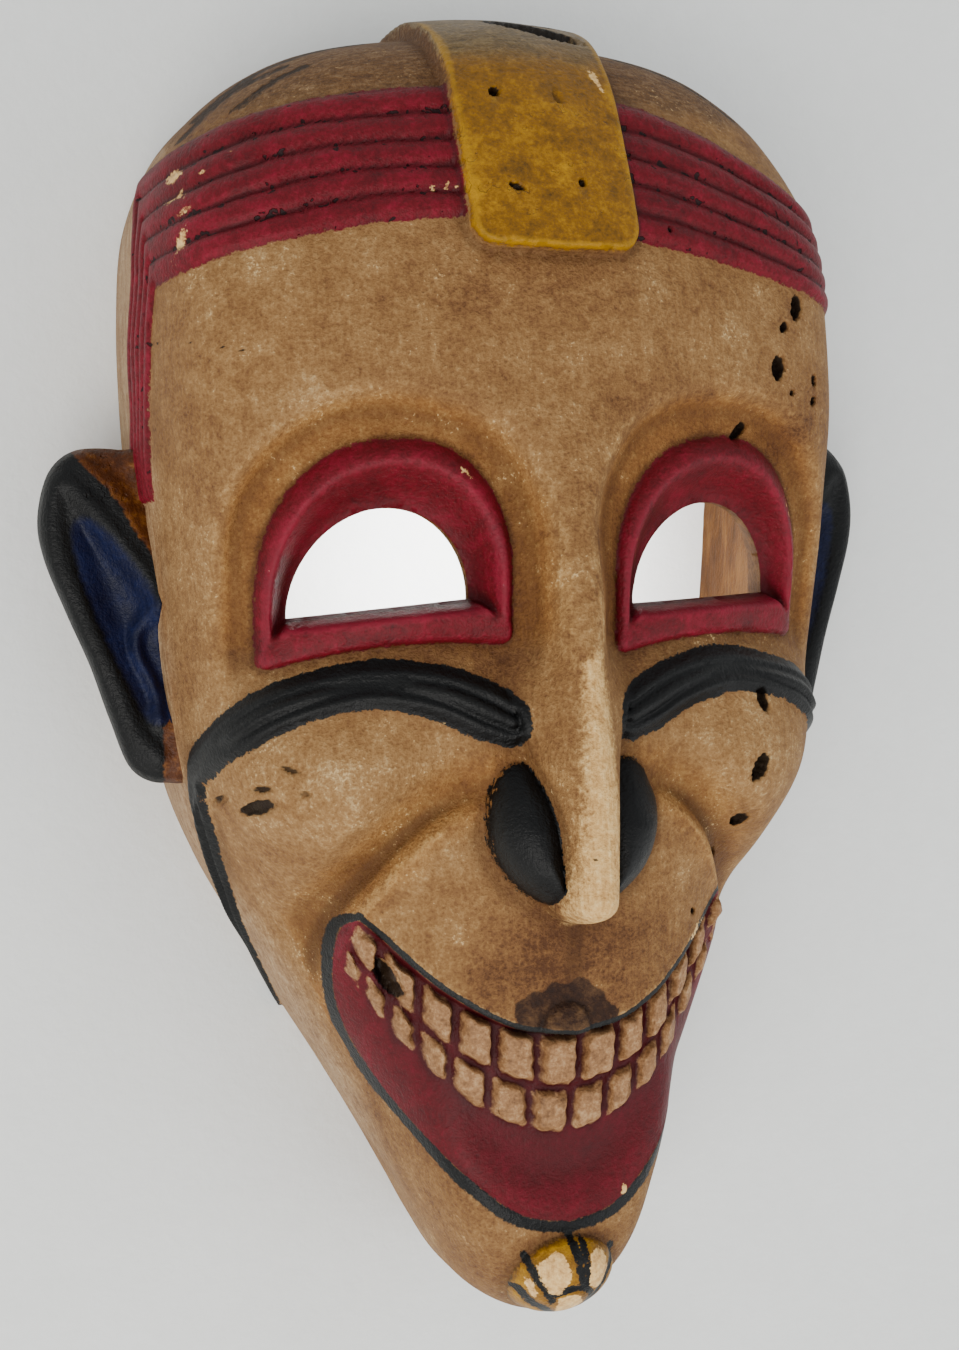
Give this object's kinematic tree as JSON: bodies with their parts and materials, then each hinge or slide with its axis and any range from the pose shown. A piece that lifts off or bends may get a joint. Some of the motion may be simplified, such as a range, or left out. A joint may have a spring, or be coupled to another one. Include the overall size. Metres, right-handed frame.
{
  "type": "wooden mask",
  "caption": "Carved and painted wooden dance mask with a long nose, wide toothy grin, open eyes, ears and a crown strap, hollowed from behind.",
  "frame": {"origin": "middle of the mask's box, on the plane of its back rim", "axes": "+Z out of the face, +Y towards the crown, +X towards the mask's own left ear"},
  "size_m": [0.2154, 0.3146, 0.1154],
  "materials": {
    "painted_wood": "aged bare wood, worn smooth, with matt painted bands, eye rings, lips, ears and strap"
  },
  "bodies": {
    "root": {"mask": "painted_wood"}
  },
  "joints": []
}
